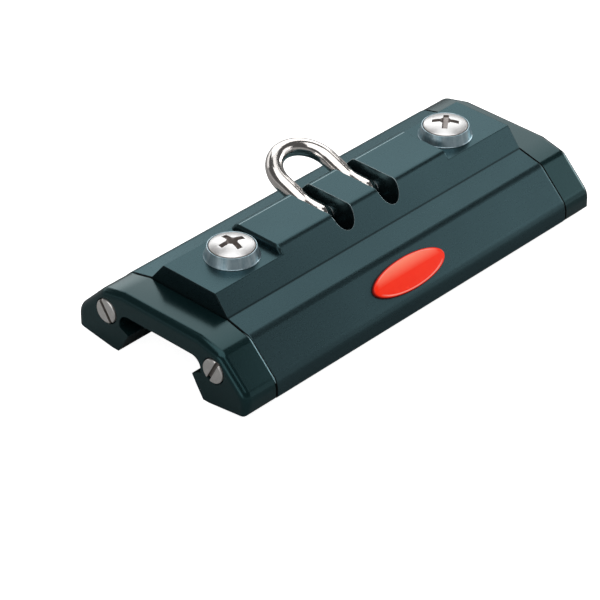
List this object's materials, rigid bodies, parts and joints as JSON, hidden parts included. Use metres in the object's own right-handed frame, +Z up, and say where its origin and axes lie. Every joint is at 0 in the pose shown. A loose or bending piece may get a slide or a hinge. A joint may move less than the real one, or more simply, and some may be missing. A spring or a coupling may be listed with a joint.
{
  "type": "mainsheet traveller car",
  "caption": "Recirculating-ball traveller car for a low-beam rail, with an anodised ridge body, moulded end caps and a swinging steel bow for a block.",
  "frame": {"origin": "under the middle of the car, level with the two long lands at the inner bottoms of its legs", "axes": "+X along the rail, +Y across it towards the side the bow leans to, +Z up, away from the deck"},
  "size_m": [0.1104, 0.05, 0.0248],
  "materials": {
    "anodised_body": "satin, dark blue-grey hard anodised",
    "black_plastic": "smooth, half gloss",
    "stainless": "polished stainless steel",
    "collar_metal": "satin, turned",
    "ball_plastic": "smooth acetal balls",
    "badge_red": "clear domed resin over red, bare"
  },
  "bodies": {
    "car": {"car_body": "anodised_body", "end_cap_right": "black_plastic", "end_cap_left": "black_plastic", "shackle_pin": "stainless", "badge": "badge_red", "top_screw_left": "stainless", "conical_collar_left": "collar_metal", "cap_screw_left_front": "stainless", "turn_balls_left_front": "ball_plastic", "cap_screw_left_rear": "stainless", "turn_balls_left_rear": "ball_plastic", "top_screw_right": "stainless", "conical_collar_right": "collar_metal", "cap_screw_right_front": "stainless", "turn_balls_right_front": "ball_plastic", "cap_screw_right_rear": "stainless", "turn_balls_right_rear": "ball_plastic", "load_balls_front": "ball_plastic", "return_balls_front": "ball_plastic", "load_balls_rear": "ball_plastic", "return_balls_rear": "ball_plastic"},
    "bow": {"shackle_bow": "stainless"}
  },
  "joints": [
    {"name": "bow_swing", "type": "hinge", "parent": "car", "child": "bow", "pos_m": [0, 0, 0.0163], "axis": [1, 0, 0], "range_deg": [0, 138.7]}
  ]
}
